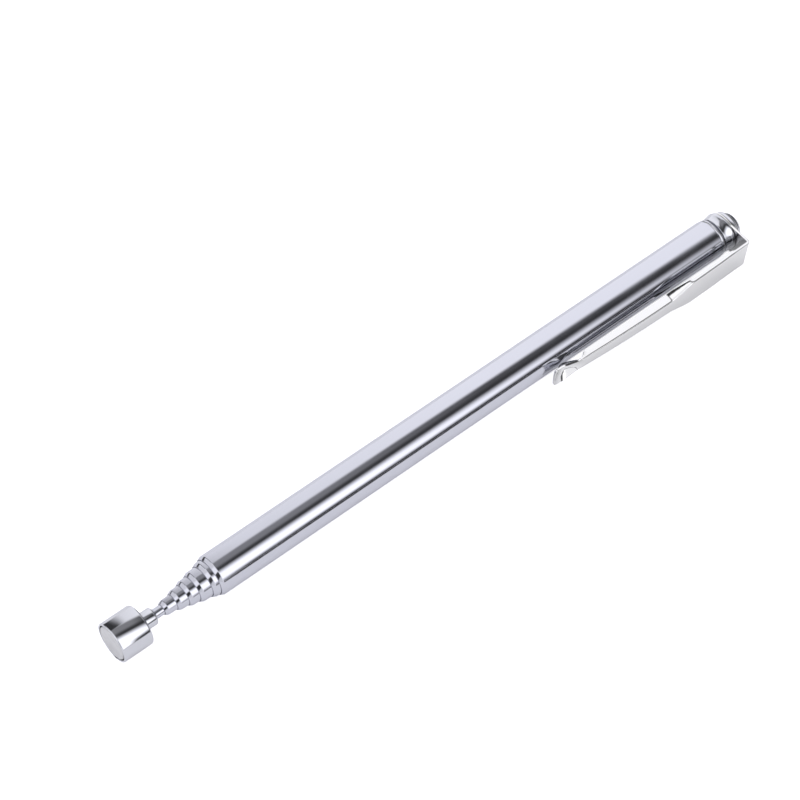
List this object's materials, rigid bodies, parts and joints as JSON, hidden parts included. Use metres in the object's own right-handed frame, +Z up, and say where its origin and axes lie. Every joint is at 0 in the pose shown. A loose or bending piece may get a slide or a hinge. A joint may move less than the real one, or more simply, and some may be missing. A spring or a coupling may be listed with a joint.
{
  "type": "magnetic pickup tool",
  "caption": "Pen-sized telescopic pickup tool: bright tubes nested in a barrel, a cupped disc magnet on the thinnest rod, and a bent sheet-metal pocket clip held under a domed end cap.",
  "frame": {"origin": "middle of the underside of the closed tool's box, on the surface that it lies on", "axes": "+X along the tool's axis from the magnet to the domed cap, +Z up, and the pocket clip towards -Y, turned 5 degrees below level so that its outer corner rests on the surface beside the barrel"},
  "size_m": [0.131, 0.0102, 0.007],
  "materials": {
    "tube_chrome": "drawn brass tube, polished and chrome plated",
    "turned_chrome": "turned and chrome plated",
    "clip_steel": "pressed spring steel, bright nickel plated",
    "magnet_plate": "satin nickel plate on the sintered magnet",
    "brass_liner": "rolled spring brass"
  },
  "bodies": {
    "barrel": {"barrel": "tube_chrome", "end_plug": "turned_chrome", "end_button": "turned_chrome", "clip_base": "clip_steel"},
    "liners_1": {"liner_1_upper": "brass_liner", "liner_1_lower": "brass_liner"},
    "tube_1": {"tube_1": "tube_chrome"},
    "liners_2": {"liner_2_upper": "brass_liner", "liner_2_lower": "brass_liner"},
    "tube_2": {"tube_2": "tube_chrome"},
    "liners_3": {"liner_3_upper": "brass_liner", "liner_3_lower": "brass_liner"},
    "tube_3": {"tube_3": "tube_chrome"},
    "liners_4": {"liner_4_upper": "brass_liner", "liner_4_lower": "brass_liner"},
    "tube_4": {"tube_4": "tube_chrome"},
    "liners_5": {"liner_5_upper": "brass_liner", "liner_5_lower": "brass_liner"},
    "tube_5": {"tube_5": "tube_chrome"},
    "liners_6": {"liner_6_upper": "brass_liner", "liner_6_lower": "brass_liner"},
    "rod": {"rod": "tube_chrome", "magnet_neck": "turned_chrome", "magnet_cup": "turned_chrome", "magnet_disc": "magnet_plate"},
    "clip_arm": {"clip_arm": "clip_steel"}
  },
  "joints": [
    {"name": "tube_1_slide", "type": "slide", "parent": "barrel", "child": "liners_1", "axis": [-1, 0, 0], "range_m": [0, 0.0805]},
    {"name": "tube_1_turn", "type": "hinge", "parent": "liners_1", "child": "tube_1", "pos_m": [0, 0.00157, 0.0035], "axis": [1, 0, 0], "continuous": true},
    {"name": "tube_2_slide", "type": "slide", "parent": "tube_1", "child": "liners_2", "axis": [-1, 0, 0], "range_m": [0, 0.0818]},
    {"name": "tube_2_turn", "type": "hinge", "parent": "liners_2", "child": "tube_2", "pos_m": [0, 0.00157, 0.0035], "axis": [1, 0, 0], "continuous": true},
    {"name": "tube_3_slide", "type": "slide", "parent": "tube_2", "child": "liners_3", "axis": [-1, 0, 0], "range_m": [0, 0.0838]},
    {"name": "tube_3_turn", "type": "hinge", "parent": "liners_3", "child": "tube_3", "pos_m": [0, 0.00157, 0.0035], "axis": [1, 0, 0], "continuous": true},
    {"name": "tube_4_slide", "type": "slide", "parent": "tube_3", "child": "liners_4", "axis": [-1, 0, 0], "range_m": [0, 0.0856]},
    {"name": "tube_4_turn", "type": "hinge", "parent": "liners_4", "child": "tube_4", "pos_m": [0, 0.00157, 0.0035], "axis": [1, 0, 0], "continuous": true},
    {"name": "tube_5_slide", "type": "slide", "parent": "tube_4", "child": "liners_5", "axis": [-1, 0, 0], "range_m": [0, 0.0875]},
    {"name": "tube_5_turn", "type": "hinge", "parent": "liners_5", "child": "tube_5", "pos_m": [0, 0.00157, 0.0035], "axis": [1, 0, 0], "continuous": true},
    {"name": "rod_slide", "type": "slide", "parent": "tube_5", "child": "liners_6", "axis": [-1, 0, 0], "range_m": [0, 0.0896]},
    {"name": "rod_turn", "type": "hinge", "parent": "liners_6", "child": "rod", "pos_m": [0, 0.00157, 0.0035], "axis": [1, 0, 0], "continuous": true},
    {"name": "clip_flex", "type": "hinge", "parent": "barrel", "child": "clip_arm", "pos_m": [0.06267, -0.00326, 0.00308], "axis": [0, -0.0872, 0.9962], "range_deg": [0, 4], "stiffness_Nm_per_rad": 2}
  ]
}
